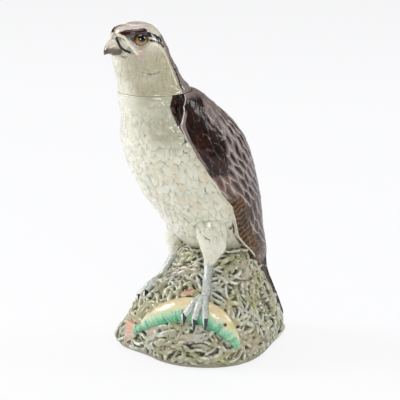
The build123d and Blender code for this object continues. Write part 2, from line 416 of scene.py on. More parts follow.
def store_masks(mesh: bpy.types.Mesh, masks: dict[str, Array]) -> None:
    """Stores masks at the points of a mesh, for the washes of its finish.

    Args:
        mesh: Mesh to store them on.
        masks: Masks by name, which are kept from 0 to 1.
    """
    for name, mask in masks.items():
        attribute = mesh.attributes.new(name, "FLOAT", "POINT")
        attribute.data.foreach_set("value", np.clip(mask, 0, 1).astype(np.float32))


def read_points(mesh: bpy.types.Mesh) -> Array:
    """Reads the points of a mesh.

    Args:
        mesh: Mesh in metres.

    Returns:
        Its points in millimetres, one a row.
    """
    flat = np.zeros(len(mesh.vertices) * 3)
    mesh.vertices.foreach_get("co", flat)
    return flat.reshape(-1, 3) / MM


def select_only(piece: bpy.types.Object) -> None:
    """Selects one object and makes it active.

    Args:
        piece: Object that the next step works on.
    """
    bpy.ops.object.select_all(action="DESELECT")
    piece.select_set(True)
    bpy.context.view_layer.objects.active = piece


def finish_piece(piece: bpy.types.Object, body: Body, finish: Glaze,
                 nodes: tuple[str, ...] = ()) -> None:
    """Gives a piece its finish and its body.

    Args:
        piece: Finished mesh with its place in its points.
        body: Body that it rides on.
        finish: What it is made of.
        nodes: CAD nodes that it stands for.
    """
    piece.data.materials.clear()
    piece.data.materials.append(finish.material())
    select_only(piece)
    bpy.ops.object.shade_smooth()
    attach(piece, body.value)
    if nodes:
        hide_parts(*nodes)
    log.info("%s: %d points on %s", piece.name, len(piece.data.vertices), body.value)


class Skin:
    """Outer skin of a CAD node as a fine, even mesh, whose points are then worked in code.

    Soft relief such as feathers and twigs under a thick glaze has no edges to extrude or bevel,
    so it is raised point by point, as clay is pressed into a mould.
    """

    def __init__(self, node: str, name: str, voxel: float, smoothing: int = 3,
                 plugs: tuple[tuple[Point, float], ...] = ()) -> None:
        """Copies the node, closes its hollows and remeshes it.

        Args:
            node: CAD node to copy.
            name: Name of the new piece.
            voxel: Size of the new faces in millimetres.
            smoothing: Steps of smoothing after the remesh.
            plugs: Discs that close its hollows, as centre and radius in millimetres.
        """
        select_only(frame["nodes"][node])
        bpy.ops.object.duplicate()
        piece = bpy.context.active_object
        piece.name = piece.data.name = name
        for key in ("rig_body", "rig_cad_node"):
            del piece[key]
        piece.parent = None
        bpy.ops.object.mode_set(mode="EDIT")
        bpy.ops.mesh.select_all(action="SELECT")
        bpy.ops.mesh.remove_doubles(threshold=SAME_CORNER * MM)
        for centre, radius in plugs:
            bpy.ops.mesh.primitive_circle_add(
                vertices=32, radius=radius * MM, fill_type="NGON", location=[c * MM for c in centre])
        bpy.ops.object.mode_set(mode="OBJECT")
        piece.data.remesh_voxel_size = voxel * MM
        bpy.ops.object.voxel_remesh()
        if smoothing:
            smooth = piece.modifiers.new("Smooth", "SMOOTH")
            smooth.factor, smooth.iterations = 0.5, smoothing
            bpy.ops.object.modifier_apply(modifier=smooth.name)
        self.piece = piece
        self.points = read_points(piece.data)

    def normals(self) -> Array:
        """Reads the outward directions at the points.

        Returns:
            Directions of length 1, one a row.
        """
        flat = np.zeros(len(self.piece.data.vertices) * 3)
        self.piece.data.vertices.foreach_get("normal", flat)
        return flat.reshape(-1, 3)

    def write(self) -> None:
        """Puts the points back into the mesh."""
        self.piece.data.vertices.foreach_set("co", (self.points * MM).ravel())
        self.piece.data.update()

    def lift(self, heights: Array) -> None:
        """Raises the points along their directions by heights in millimetres."""
        self.points = self.points + self.normals() * heights[:, None]
        self.write()

    def blurred(self, values: Array, steps: int) -> Array:
        """Averages values with those of neighbouring points.

        Args:
            values: One value a point.
            steps: How often each point is averaged with its neighbours.

        Returns:
            The smoother values.
        """
        flat = np.zeros(len(self.piece.data.edges) * 2, np.int32)
        self.piece.data.edges.foreach_get("vertices", flat)
        first, second = flat.reshape(-1, 2).T
        size = len(values)
        count = np.bincount(first, minlength=size) + np.bincount(second, minlength=size)
        for _ in range(steps):
            total = (np.bincount(first, weights=values[second], minlength=size)
                     + np.bincount(second, weights=values[first], minlength=size))
            values = (values + total / np.maximum(count, 1)) / 2
        return values

    def paint(self, **masks: Array) -> None:
        """Stores masks from 0 to 1 for the washes of the finish."""
        store_masks(self.piece.data, masks)


@dataclass(frozen=True)
class Plumage:
    """Rows of overlapping feathers, laid like tiles with some disorder.

    The overlap is a feather's length in rows, and the fullness half its width in columns.
    """

    overlap: float = 1.6
    fullness: float = 0.6
    disorder: float = 0.3
    seed: int = 1

    def lay(self, across: Array, down: Array) -> dict[str, Array]:
        """Finds the feather that shows at each place.

        Args:
            across: Steps across the rows, one step to a feather.
            down: Steps down the rows, towards the tips.

        Returns:
            tip: 0 at a feather's root and 1 at its tip. rim: 0 on its outline and 1 on its shaft.
            thick: its thickness from 0 to 1. pick: a random share for each feather.
            shaft: steps across from its shaft.
        """
        found = {key: np.zeros(len(across)) for key in ("tip", "rim", "thick", "pick", "shaft")}
        shown = np.zeros(len(across), bool)
        whole = np.floor(down).astype(np.int64)
        for back in range(math.ceil(self.overlap), -1, -1):
            row = whole - back
            for aside in (0, -1, 1):
                shift = 0.5 * (row % 2)
                column = np.floor(across - shift).astype(np.int64) + aside
                stray = self.disorder * (scatter(row, column, seed=self.seed) - 0.5)
                late = self.disorder * (scatter(row, column, seed=self.seed + 1) - 0.5)
                off = across - (column + 0.5 + shift + stray)
                share = (down - row - late) / self.overlap
                width = self.fullness * np.sqrt(1 - np.clip((share - 0.45) / 0.55, 0, 1) ** 2)
                here = (share > 0) & (share < 1) & (np.abs(off) < width) & ~shown
                found["tip"][here] = share[here]
                found["rim"][here] = ((width - np.abs(off)) / self.fullness)[here]
                found["pick"][here] = scatter(row, column, seed=self.seed + 2)[here]
                found["shaft"][here] = off[here]
                shown |= here
        found["thick"] = (0.25 + 0.75 * found["tip"]) * rise(0.0, 0.35, found["rim"])
        return found


@dataclass(frozen=True)
class BodyChart:
    """Measures round and down the leaning body, which is a stack of level ovals."""

    foot: Point = (0.0, 12.0, 62.0)
    height: float = 96.0
    lean: float = 48.0
    half_width: float = 32.0
    half_depth: float = 35.0
    # Levels of the ovals as shares of the height, and at each its shares of lean, width and depth.
    levels: tuple[float, ...] = (-0.185, 0.0, 0.2, 0.45, 0.58, 0.71, 0.82, 0.92, 1.0)
    leans: tuple[float, ...] = (-0.19, 0.0, 0.19, 0.43, 0.53, 0.635, 0.742, 0.877, 1.0)
    widths: tuple[float, ...] = (0.40, 0.60, 0.81, 0.98, 1.0, 0.95, 0.84, 0.72, 0.62)
    depths: tuple[float, ...] = (0.583, 0.63, 0.83, 0.98, 1.0, 0.965, 0.85, 0.715, 0.60)
    # Y and Z of the front edge of the folded wing.
    wing_edge: tuple[tuple[float, float], ...] = (
        (35.8, 41.8), (29.5, 46.2), (20.4, 54.3), (10.6, 63.9), (3.6, 71.6), (-1.3, 82.0), (-6.2, 91.6),
        (-14.6, 100.8), (-23.7, 113.5), (-30.0, 123.0), (-34.9, 133.5), (-37.7, 142.6), (-38.4, 152.2),
        (-34.2, 159.9),
    )

    def axis(self) -> Array:
        """Direction up the leaning body."""
        run = np.array([0.0, -self.lean, self.height])
        return run / np.linalg.norm(run)

    def ovals(self, points: Array) -> tuple[Array, Array, Array]:
        """Finds the level oval of the body at the height of each point.

        Args:
            points: Points, one a row, in millimetres.

        Returns:
            Y of its middle, half its width and half its depth.
        """
        level = (points[:, 2] - self.foot[2]) / self.height
        middle = self.foot[1] - np.interp(level, self.levels, self.leans) * self.lean
        wide = np.interp(level, self.levels, self.widths) * self.half_width
        deep = np.interp(level, self.levels, self.depths) * self.half_depth
        return middle, wide, deep

    def turn(self, points: Array) -> Array:
        """Angle round the body: 0 down the middle of the back, and plus or minus pi down the front."""
        middle, wide, deep = self.ovals(points)
        return np.arctan2(points[:, 0] / wide, (points[:, 1] - middle) / deep)

    def down(self, points: Array) -> Array:
        """Distance down the body from the level of the seam in the neck."""
        top = np.array([0, self.foot[1] - self.lean, self.foot[2] + self.height])
        return (top - points) @ self.axis()

    def edge_y(self, points: Array) -> Array:
        """Y of the front edge of the folded wing at the level of each point."""
        ys, zs = zip(*self.wing_edge)
        return np.interp(points[:, 2], zs, ys)

    def behind(self, points: Array) -> Array:
        """Measures round the body from the front edge of the folded wing.

        Args:
            points: Points, one a row, in millimetres.

        Returns:
            Distances behind the edge, which are negative before it.
        """
        middle, wide, deep = self.ovals(points)
        edge_turn = np.arccos(np.clip((self.edge_y(points) - middle) / deep, -0.999, 0.999))
        return (edge_turn - np.abs(self.turn(points))) * (wide + deep) / 2


CHART = BodyChart()


@dataclass
class Torso:
    """Breast, belly and thighs: one hollow casting with the mouth in its neck."""

    voxel: float = 0.6
    columns: int = 42
    row: float = 4.7
    relief: float = 1.55
    mouth: Point = (0.0, -36.0, 158.0)
    bore: float = 20.0
    bore_depth: float = 22.0
    belly_plug: tuple[Point, float] = ((0.0, 12.0, 63.0), 20.0)
    # Cream clay under a thick clear glaze, with a stone-grey painted shade towards the wings and up the
    # neck, a grey-green mist that is partly painted shade in the broad hollows, olive-grey painted shade
    # in the furrows, and the bore painted dark brown as painted shade. The shade, mist and furrows are
    # weaker on the bird's right side, which faces the key lamp, as painted light. The breast looks soft
    # and wet, and its feathers are read from the furrows.
    glaze: Glaze = Glaze(
        "glazed_breast_earthenware", "#efecdb",
        (
            Wash("shade", "#a8a286", 0.5, 0.08, 7.0),
            Wash("mist", "#d0d1bc", 0.5, 0.2, 4.0),
            Wash("furrow", "#a3a690", 0.5, 0.3, 2.2),
            Wash("tan_spot", "#d2c19b", 0.5, 0.35, 2.5),
            Wash("olive_spot", "#a9a878", 0.5, 0.25, 2.0),
            Wash("speckle", "#3f4438", 0.35, 0.25, 0.9),
            Wash("shoulder", "#33190f", 0.35, 0.15, 1.2),
            Wash("bare", "#e9e3d3", 0.2, 0.05, 1.0),
            Wash("inside", "#5a4a3b", 0.3, 0.1, 2.0),
        ),
        roughness=0.24, coat=0.5, coat_roughness=0.08, wave_size=2.6, wave_depth=0.12,
    )

    def build(self) -> None:
        """Makes the casting from the torso node.

        Short, ragged feathers are raised all over it and fade out at the seam and on the thighs.
        """
        x, y, z = self.mouth
        skin = Skin("torso", "torso_casting", self.voxel, 2,
                    plugs=(self.belly_plug, ((x, y, z - 0.4), self.bore / 2 + 2)))
        self.open_mouth(skin)
        points = skin.points
        turn, down = CHART.turn(points), CHART.down(points)
        warp = np.stack([ripple(points, 9, 5), ripple(points, 9, 6)])
        tiles = Plumage(disorder=0.6, seed=3).lay(
            turn / TURN * self.columns + 0.55 * warp[0], down / self.row + 0.6 * warp[1])
        behind = CHART.behind(points)
        seam = rise(1.2, 3.5, z - points[:, 2]) * rise(-1.0, 1.0, down + 1)
        smooth_thigh = 1 - 0.6 * rise(76.0, 66.0, points[:, 2])
        ring = np.hypot(points[:, 0] - x, points[:, 1] - y)
        bore = rise(self.bore / 2 + 0.6, self.bore / 2 + 0.1, ring) * rise(134, 135, points[:, 2])
        bumps = 0.5 * tiles["thick"] + 0.5 * ripple(points, 4.6, 9) + 0.14 * ripple(points, 2.2, 8)
        bumps = bumps * (0.85 + 0.15 * rise(6.0, 30.0, down))
        height = self.relief * seam * smooth_thigh * (1 - bore) * bumps
        skin.lift(height)
        pit = skin.blurred(height, 24) - height
        hollow = skin.blurred(height, 60) - height
        near_wing = rise(-36, -4, behind)
        # front is 1 on the bird's right side, which faces the key lamp: the shade, mist and furrow washes are
        # made weaker there as painted light.
        front = rise(-8, 8, -points[:, 0])
        belly = rise(130, 114, points[:, 2]) * rise(78, 92, points[:, 2])
        tan_feather = rise(0.7, 0.76, tiles["pick"]) * rise(0.0, 0.6, tiles["rim"])
        skin.paint(
            # Painted shade: darker towards the wings and up the neck, lighter on the lit right side.
            shade=(0.10 + 0.75 * near_wing * rise(122, 140, points[:, 2]) + 0.28 * near_wing
                   + 0.12 * ripple(points, 14, 12)) * (1 - 0.5 * front),
            # Grey-green mist: partly random tone, partly painted shade in the broad hollows; weaker on the
            # lit right side and low on the body.
            mist=(0.3 + 0.3 * ripple(points, 7, 14) + 0.5 * rise(-0.1, 0.5, hollow) - 0.2 * front
                  - 0.3 * rise(84, 74, points[:, 2])),
            # Painted shade in the furrows between the feathers, stronger towards the wings and weaker on the
            # lit right side.
            furrow=(rise(0.0, 0.55, pit) * (0.72 + 0.25 * near_wing + 0.35 * ripple(points, 7, 21))
                    * (1 - 0.5 * front)),
            tan_spot=belly * skin.blurred(tan_feather, 6) * 0.5,
            olive_spot=np.maximum(
                rise(0.10, 0.3, pit) * rise(0.2, 0.7, ripple(points, 6, 33)) * 0.8,
                (rise(0.0, 0.6, ripple(points, 3.4, 35)) * rise(118, 130, points[:, 2])
                 * rise(-46, -12, behind) * 0.3)),
            speckle=(rise(0.12, 0.3, pit) * rise(0.2, 0.6, ripple(points, 4.5, 31)) * rise(-34, -8, behind)
                     * rise(152, 140, points[:, 2]) * 0.9),
            shoulder=(rise(-0.6, 0.4, behind + 3.8 * rise(134, 156, points[:, 2]))
                      * rise(133, 138, points[:, 2]) * 0.95),
            bare=rise(0.6, 0.1, z - points[:, 2]) * rise(17, 15, ring),
            # Painted shade: the inside of the bore is painted dark brown.
            inside=bore * rise(1.5, 4, z - points[:, 2]),
        )
        finish_piece(skin.piece, Body.DECANTER, self.glaze, ("torso",))

    def open_mouth(self, skin: Skin) -> None:
        """Cuts the bore of the mouth into the neck.

        Args:
            skin: Skin of the torso, whose points are read again after the cut.
        """
        x, y, z = self.mouth
        bpy.ops.object.select_all(action="DESELECT")
        bpy.ops.mesh.primitive_cylinder_add(
            vertices=72, radius=self.bore / 2 * MM, depth=(self.bore_depth + 4) * MM,
            location=(x * MM, y * MM, (z - self.bore_depth / 2 + 2) * MM))
        drill = bpy.context.active_object
        select_only(skin.piece)
        cut = skin.piece.modifiers.new("Mouth", "BOOLEAN")
        cut.operation, cut.solver, cut.object = "DIFFERENCE", "EXACT", drill
        bpy.ops.object.modifier_apply(modifier=cut.name)
        bpy.data.objects.remove(drill)
        skin.points = read_points(skin.piece.data)


@dataclass
class Wing:
    """Folded wing: a separate clay piece with coverts above and long flight feathers below."""

    side: Side
    voxel: float = 0.5
    width: float = 5.2
    row: float = 6.2
    growth: float = 0.06
    relief: float = 0.9
    bar_pitch: float = 3.5
    # Y and Z of the rear edge of the dark patch.
    patch_back: tuple[tuple[float, float], ...] = (
        (-11.0, 113.0), (-10.4, 116.0), (-11.0, 120.0), (-12.2, 128.0), (-13.1, 133.0), (-15.6, 139.0),
        (-22.6, 148.0), (-22.6, 156.0),
    )
    # Brown stain with mauve brushed over it and a pale line on each feather's edge. The stain is
    # thick, so the clay shines little and the coat alone gives small, sharp glints on the dark.
    glaze: Glaze = Glaze(
        "glazed_wing_earthenware", "#5f4b45",
        (
            Wash("mauve", "#8e807a", 0.5, 0.2, 2.4),
            Wash("dark", "#1a0b06", 0.5, 0.14, 2.0),
            Wash("chestnut", "#3d1a0f", 0.5, 0.3, 2.2),
            Wash("russet", "#7b5a4c", 0.5, 0.15, 2.0),
            Wash("ochre", "#7c551d", 0.5, 0.3, 1.8),
            Wash("bar", "#2b180d", 0.4, 0.15, 1.0),
            Wash("rim", "#b5a8a3", 0.5, 0.25, 1.4),
            Wash("edge_band", "#8a7871", 0.4, 0.2, 1.6),
            Wash("cream", "#e3dcc9", 0.25, 0.1, 1.0),
        ),
        roughness=0.4, shine=0.12, coat=0.4, coat_roughness=0.04, wave_size=3.0, wave_depth=0.12,
    )

    def build(self) -> None:
        """Makes the wing from its node.

        Its feathers grow longer down the wing, and the band, patch and strip are stained on.
        """
        name = self.side.name.lower() + "_wing"
        skin = Skin(name, name + "_casting", self.voxel, 3)
        points = skin.points
        y, z = points[:, 1], points[:, 2]
        behind, down = CHART.behind(points), CHART.down(points)
        outward = self.outward(skin)
        warp = np.stack([ripple(points, 11, 41), ripple(points, 11, 42)])
        long = np.log1p(np.maximum(down, 0) * self.growth / self.row) / self.growth
        tiles = Plumage(overlap=1.7, fullness=0.57, seed=17).lay(
            behind / self.width + 0.25 * warp[0], long + 0.2 * warp[1])
        flight = rise(62, 80, down)
        back_y = np.interp(z, [p[1] for p in self.patch_back], [p[0] for p in self.patch_back])
        line = 0.4 + 3.0 * rise(139, 152, z)
        ahead = rise(line + 0.2, line - 0.2, behind) * rise(133, 138, z)
        band = (rise(line + 2.0, line + 1.2, behind + 0.5 * warp[0]) * rise(112, 126, z) * rise(151, 147, z)
                * (1 - ahead))
        patch = (rise(2.0, -1.2, y - back_y + 3.0 * warp[0]) * rise(111, 114, z + 2.0 * warp[1])
                 * rise(159, 153, z) * (1 - band))
        strip = rise(11, 8, behind) * rise(101, 95, z) * rise(47, 52, z)
        russet = rise(114, 110, z) * rise(95, 101, z) * rise(18, 6, behind)
        inner = rise(0.0, 0.5, outward)
        height = self.relief * inner * rise(0.0, 2.0, behind) * (
            tiles["thick"] * (0.75 - 0.3 * patch) + 0.14 * ripple(points, 3.0, 45))
        skin.lift(height)
        pit = skin.blurred(height, 14) - height
        rim_line = rise(0.42, 0.1, tiles["rim"]) * rise(0.25, 0.5, tiles["tip"])
        drop = rise(0.4, 0.85, tiles["rim"]) * rise(0.95, 0.7, tiles["tip"]) * rise(0.15, 0.45, tiles["tip"])
        wave = down * TURN / self.bar_pitch + 2.5 * tiles["shaft"] + 1.3 * ripple(points, 4, 50)
        bars = 0.5 + 0.5 * np.sin(wave)
        shown = rise(18, 40, down)
        # spots: dark feather centres and flight feathers, plus painted shade in the hollows between the
        # feathers from the pit term.
        spots = drop * (0.4 + 0.55 * shown) + 0.6 * rise(0.0, 0.2, pit) * shown + 0.35 * flight
        skin.paint(
            mauve=0.5 + 0.3 * ripple(points, 9, 47) + 0.2 * rise(60, 20, down) - 0.4 * flight,
            dark=np.maximum(0.97 * patch, (1 - patch) * spots) * (1 - ahead) + ahead,
            chestnut=patch * (0.18 + 0.5 * ripple(points, 5, 49)),
            russet=russet * 0.5,
            ochre=(strip * (0.62 + 0.4 * ripple(points, 6, 56))
                   + 0.35 * flight * (1 - strip) * rise(0.3, 0.8, bars) * rise(30, 14, behind)),
            bar=strip * rise(0.0, 0.7, bars) * (0.8 + 0.45 * ripple(points, 4, 54)),
            rim=rim_line * (0.95 - 0.75 * patch) * (1 - 0.8 * strip) * (0.35 + 0.65 * shown) * (1 - ahead),
            edge_band=band,
            cream=rise(0.55, 0.25, np.abs(behind - line)) * rise(50, 60, z) * (1 - 0.35 * rise(139, 147, z)),
        )
        finish_piece(skin.piece, Body.DECANTER, self.glaze, (name,))

    def outward(self, skin: Skin) -> Array:
        """Finds which points are on the outside of the wing.

        Args:
            skin: Skin of the wing.

        Returns:
            1 where a point faces straight away from the body's middle, and -1 where it faces it.
        """
        middle = np.zeros_like(skin.points)
        middle[:, 1] = CHART.ovals(skin.points)[0]
        middle[:, 2] = skin.points[:, 2]
        away = skin.points - middle
        away /= np.linalg.norm(away, axis=1)[:, None] + 1e-9
        return (away * skin.normals()).sum(axis=1)


@dataclass
class Tail:
    """Tail feathers down the back of the nest."""

    voxel: float = 0.45
    feather_width: float = 5.5
    feather_length: float = 30.0
    bar_pitch: float = 7.0
    relief: float = 0.9
    # Brown stain with ochre bars wiped across the feathers, under the same glaze as the wings but
    # smoother, so the tail looks darker and glossier than the back.
    glaze: Glaze = Glaze(
        "glazed_tail_earthenware", "#5b4334",
        (
            Wash("dark", "#2a170e", 0.5, 0.15, 2.0),
            Wash("bar", "#8a6a48", 0.45, 0.2, 1.2),
            Wash("rim", "#a0938a", 0.4, 0.25, 1.2),
        ),
        roughness=0.16, coat=0.8,
    )

    def build(self) -> None:
        """Makes the tail from its node.

        Long feathers with bars are raised on its outside only.
        """
        skin = Skin("tail", "tail_casting", self.voxel, 3)
        points = skin.points
        across = points[:, 0] / self.feather_width + 0.5
        tiles = Plumage(overlap=1.9, fullness=0.56, disorder=0.2, seed=51).lay(
            across, (62 - points[:, 2]) / self.feather_length)
        facing = rise(0.1, 0.6, skin.normals() @ np.array([0, 0.85, 0.5]))
        skin.lift(self.relief * facing * tiles["thick"])
        bars = 0.5 + 0.5 * np.sin(points[:, 2] * TURN / self.bar_pitch + 3 * np.abs(tiles["shaft"]))
        skin.paint(
            dark=0.6 + 0.3 * ripple(points, 7, 52) + 0.2 * rise(8, 11, np.abs(points[:, 0])),
            bar=rise(0.55, 0.9, bars) * rise(0.05, 0.3, tiles["rim"]) * facing * 0.6,
            rim=rise(0.3, 0.06, tiles["rim"]) * facing * 0.7,
        )
        finish_piece(skin.piece, Body.DECANTER, self.glaze, ("tail",))


@dataclass
class Head:
    """Head with its beak: a hollow casting with the spigot for the cork."""

    voxel: float = 0.4
    axis_y: float = -36.0
    seam: float = 158.2
    drain_plug: tuple[Point, float] = ((0.0, -36.0, 150.0), 3.2)
    relief: float = 0.5
    eye_centre: Point = (8.7, -53.2, 189.2)
    eye_radius: float = 4.1
    eye_look: Point = (0.93, -0.33, 0.08)
    pupil_look: Point = (0.90, -0.24, 0.34)
    columns: int = 40
    row: float = 4.0
    blush_centre: Point = (12.6, -55.0, 181.5)
    # Lines that are pressed in or stained on, given for the left side and alike on the right.
    brow_path: tuple[Point, ...] = (
        (2.8, -62.9, 191.8), (6.0, -60.2, 193.3), (9.0, -56.0, 194.0), (10.2, -50.8, 194.2))
    ridge_path: tuple[Point, ...] = (
        (0.8, -63.9, 191.6), (4.0, -62.2, 191.9), (6.4, -60.8, 190.2), (8.8, -59.2, 186.4),
        (11.2, -56.9, 182.2))
    crescent_path: tuple[Point, ...] = (
        (1.6, -63.7, 190.4), (3.0, -63.8, 187.4), (5.4, -62.5, 184.4), (8.4, -59.8, 183.0))
    lore_path: tuple[Point, ...] = ((5.6, -61.8, 191.2), (7.4, -58.6, 190.6), (9.2, -55.6, 190.4))
    mandible_path: tuple[Point, ...] = ((2.0, -65.4, 181.8), (6.0, -61.8, 181.4))
    jowl_path: tuple[Point, ...] = ((12.4, -54.2, 171.9), (14.4, -51.0, 170.6), (16.3, -45.4, 171.3))
    upper_streak: tuple[Point, ...] = (
        (10.9, -50.2, 192.8), (11.6, -48.3, 192.0), (11.8, -43.5, 190.0), (12.0, -40.8, 188.2))
    lower_streak: tuple[Point, ...] = ((12.6, -48.6, 188.9), (12.6, -44.0, 187.6), (12.6, -40.0, 184.6))
    cheek_line: tuple[Point, ...] = (
        (12.9, -48.0, 187.0), (13.0, -43.4, 184.6), (13.2, -40.2, 180.4), (14.4, -37.6, 173.0),
        (16.0, -35.0, 163.0))
    # Distance ahead of the axis and height over the seam, along the front edge of the mauve nape.
    nape_edge: tuple[tuple[float, float], ...] = (
        (-4.6, 0.0), (-4.1, 5.8), (-2.4, 13.0), (1.3, 20.1), (2.6, 24.5), (5.8, 29.3), (7.5, 31.6))
    # Cream clay with marks brushed on by hand: dark brown strokes for brow and cheek, a rosy blush and
    # a wiped beak. The olive is partly a stain and partly painted shade, stronger on the bird's left side
    # and low on the head; the socket wash is painted shade round the eye and under the brow, with the
    # dark lore stroke; and olive-grey painted shade lies in the furrows. The edges stay a little soft for
    # that.
    glaze: Glaze = Glaze(
        "glazed_head_earthenware", "#e6e1cf",
        (
            Wash("olive", "#aaa282", 0.5, 0.12, 5.0),
            Wash("furrow", "#8a876c", 0.5, 0.25, 1.4),
            Wash("blush", "#c3aca0", 0.5, 0.2, 2.5),
            Wash("crown", "#d5c8bd", 0.45, 0.2, 3.0),
            Wash("crown_band", "#8f726a", 0.5, 0.25, 2.0),
            Wash("nape", "#8d807b", 0.4, 0.15, 2.5),
            Wash("socket", "#55432f", 0.5, 0.15, 1.2),
            Wash("brow", "#32130c", 0.45, 0.2, 1.2),
            Wash("stripe", "#2b2124", 0.45, 0.2, 1.2),
            Wash("ridge", "#e4dcc6", 0.5, 0.1, 1.0),
            Wash("beak", "#d6cbb6", 0.35, 0.1, 2.0),
            Wash("beak_dark", "#5f4f3e", 0.5, 0.2, 1.5),
            Wash("cere", "#9b9e8e", 0.35, 0.15, 1.0),
            Wash("line", "#17130f", 0.3, 0.1, 0.8),
            Wash("bare", "#e9e3d3", 0.2, 0.05, 1.0),
        ),
        roughness=0.22, coat=0.55, coat_roughness=0.06, wave_size=2.6, wave_depth=0.08,
    )
    # Black enamel with a ring of amber that is darker at its rim, fired smooth without any grain,
    # so the eye has one sharp glint and looks like glass.
    eye_glaze: Glaze = Glaze(
        "glossy_eye_enamel", "#120e0b",
        (
            Wash("iris", "#94702e", 0.3, 0.15, 0.7),
            Wash("iris_dark", "#5d3a12", 0.45, 0.2, 0.6),
            Wash("pupil", "#060708", 0.2, 0.0, 1.0),
        ),
        roughness=0.06, coat=1.0, coat_roughness=0.02, wave_depth=0.0, tooth_depth=0.0,
    )

    def build(self) -> None:
        """Makes the head from its node, and its two eyes.

        Brow, ridge, mouth and cheek are pressed in along lines on its skin, alike on both sides.
        """
        skin = Skin("head", "head_casting", self.voxel, 2, plugs=(self.drain_plug,))
        points = skin.points
        x, ahead, up = np.abs(points[:, 0]), self.axis_y - points[:, 1], points[:, 2] - self.seam
        folded = np.stack([x, points[:, 1], points[:, 2]], axis=1)
        paths = {
            "brow": self.brow_path, "ridge": self.ridge_path, "crescent": self.crescent_path,
            "mandible": self.mandible_path, "jowl": self.jowl_path, "upper": self.upper_streak,
            "lower": self.lower_streak, "cheek": self.cheek_line, "lore": self.lore_path,
        }
        gap = {name: stroke(folded, on_skin(folded, path))[0] for name, path in paths.items()}
        outside = rise(0.6, 2.2, up)
        on_beak = rise(25.3, 26.6, ahead) * rise(22, 23.5, up)
        turn, down = CHART.turn(points), CHART.down(points)
        tiles = Plumage(seed=61, disorder=0.6).lay(
            turn / TURN * self.columns + 0.4 * ripple(points, 8, 60),
            down / self.row + 0.5 * ripple(points, 8, 62))
        eye_gap = np.linalg.norm(folded - np.array(self.eye_centre), axis=1)
        face = rise(6.5, 12.0, eye_gap) * (1 - on_beak)
        height = outside * (
            self.relief * (0.7 * tiles["thick"] + 0.5 * ripple(points, 3.5, 64)) * face
            + 0.9 * rise(2.6, 0.2, gap["brow"])
            - 1.0 * rise(7.0, 4.6, eye_gap) * rise(0.8, 2.4, gap["brow"])
            + 0.7 * rise(1.3, 0.0, gap["ridge"])
            - 0.5 * rise(0.9, 0.1, gap["crescent"])
            + 0.9 * rise(1.9, 0.4, gap["mandible"])
            - 0.35 * rise(0.9, 0.1, gap["jowl"])
            + 0.3 * rise(1.2, 0.2, gap["cheek"])
        )
        skin.lift(height)
        pit = skin.blurred(height, 16) - height
        edge = np.interp(up, [p[1] for p in self.nape_edge], [p[0] for p in self.nape_edge])
        nape = rise(0.8, -0.8, ahead - edge) * rise(33.5, 30.5, up)
        boundary = rise(1.3, 0.3, np.abs(ahead - edge + 0.6)) * rise(25, 12, up) * rise(-1, 4, up)
        top = rise(33.5, 35.5, up) * (1 - on_beak)
        under_brow = rise(3.2, 1.2, gap["brow"]) * rise(194.5, 192.5, folded[:, 2])
        blush_gap = np.linalg.norm(folded - np.array(self.blush_centre), axis=1)
        skin.paint(
            # Olive: random tone plus painted shade on the bird's left side, away from the key lamp, and low
            # on the head.
            olive=0.25 + 0.5 * rise(-2, 12, points[:, 0]) * rise(34, 18, up) + 0.15 * ripple(points, 10, 66),
            # Painted shade in the furrows of the feathers.
            furrow=rise(0.03, 0.2, pit) * 0.75 * face * outside,
            blush=0.7 * rise(4.5, 1.5, blush_gap),
            crown=top * rise(5.0, 12.0, ahead),
            crown_band=(top * rise(9.0, 14.0, ahead) * (0.25 + 0.7 * ripple(points, 5, 68))
                        * rise(38.6, 36.0, up)),
            nape=nape,
            # Painted shade round the eye, most above it, and under the brow, with the dark lore stroke from
            # the beak.
            socket=np.maximum.reduce([
                rise(6.8, 5.0, eye_gap) * (0.35 + 0.65 * rise(186.5, 190.0, folded[:, 2])),
                under_brow, 0.85 * rise(2.8, 0.6, gap["lore"]),
            ]) * (1 - on_beak),
            brow=rise(2.3, 1.2, gap["brow"]),
            stripe=np.maximum.reduce([
                rise(1.9, 0.9, gap["upper"]), rise(1.1, 0.4, gap["lower"]) * 0.85, boundary * 0.95,
            ]),
            ridge=np.maximum(rise(1.0, 0.4, gap["ridge"]) * 0.95, rise(1.0, 0.3, gap["cheek"]) * 0.8),
            cere=rise(4.6, 3.8, gap["crescent"] + gap["ridge"]) * rise(0.6, 1.0, gap["ridge"]) * 0.9,
            beak=np.maximum(on_beak, rise(1.9, 1.3, gap["mandible"])),
            beak_dark=(on_beak * np.maximum(rise(29.4, 25.4, up), 0.85 * rise(32, 35, ahead))
                       + 0.7 * rise(1.2, 0.4, np.abs(up - 22.0)) * rise(2.2, 1.4, gap["mandible"])),
            line=np.maximum(rise(0.95, 0.45, gap["crescent"]), rise(1.3, 0.2, gap["jowl"]) * 0.33),
            bare=rise(0.5, 0.0, up),
        )
        finish_piece(skin.piece, Body.HEAD, self.glaze, ("head",))
        for side in Side:
            self.eye(side)

